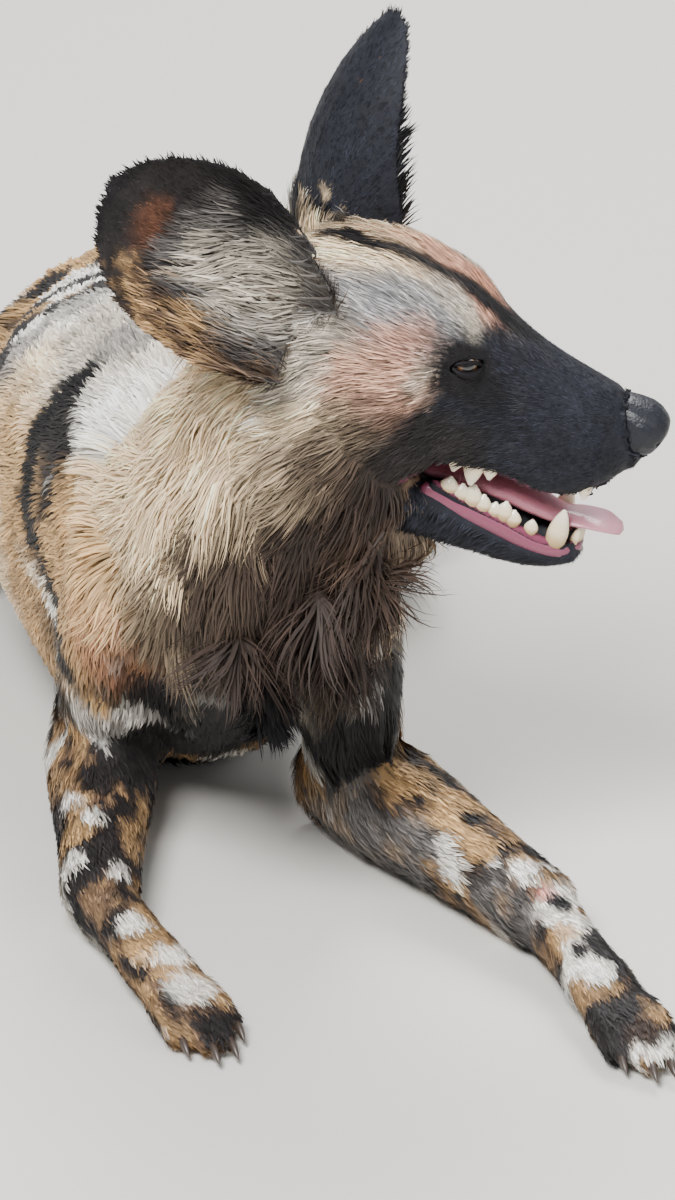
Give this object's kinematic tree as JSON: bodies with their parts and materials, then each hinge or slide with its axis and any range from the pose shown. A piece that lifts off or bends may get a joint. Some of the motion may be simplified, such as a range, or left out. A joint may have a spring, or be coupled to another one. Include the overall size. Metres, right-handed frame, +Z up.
{
  "type": "african wild dog",
  "caption": "Life-size still model of a lying African wild dog, forelegs stretched ahead, head turned to its left and mouth a little open.",
  "frame": {"origin": "middle of the footprint, on the floor that the dog lies on", "axes": "+Z up, -Y towards the forepaws, +X towards the dog's left"},
  "size_m": [0.4788, 1.0592, 0.5689],
  "materials": {
    "coat": "short tan coat with pale and dark patches",
    "dark_coat": "short dark coat with pale and tan patches",
    "pale_coat": "long pale coat",
    "nose_leather": "moist pebbled skin",
    "tongue": "moist",
    "eye": "wet gloss",
    "claw": "dull horn"
  },
  "bodies": {
    "root": {"head": "dark_coat", "eye_left": "eye", "eye_right": "eye", "nose_leather": "nose_leather", "lower_jaw": "dark_coat", "tongue": "tongue", "ear_right": "dark_coat", "ear_left": "dark_coat", "torso": "coat", "upper_arm_right": "coat", "forearm_right": "dark_coat", "forepaw_right": "dark_coat", "claw_fore_right_1": "claw", "claw_fore_right_2": "claw", "claw_fore_right_3": "claw", "claw_fore_right_4": "claw", "upper_arm_left": "coat", "forearm_left": "dark_coat", "forepaw_left": "dark_coat", "claw_fore_left_1": "claw", "claw_fore_left_2": "claw", "claw_fore_left_3": "claw", "claw_fore_left_4": "claw", "thigh_right": "coat", "shank_right": "coat", "hind_paw_right": "dark_coat", "claw_hind_right_1": "claw", "claw_hind_right_2": "claw", "claw_hind_right_3": "claw", "claw_hind_right_4": "claw", "thigh_left": "coat", "shank_left": "coat", "hind_paw_left": "dark_coat", "claw_hind_left_1": "claw", "claw_hind_left_2": "claw", "claw_hind_left_3": "claw", "claw_hind_left_4": "claw", "tail_root": "coat", "tail_brush": "pale_coat", "neck": "coat"}
  },
  "joints": []
}
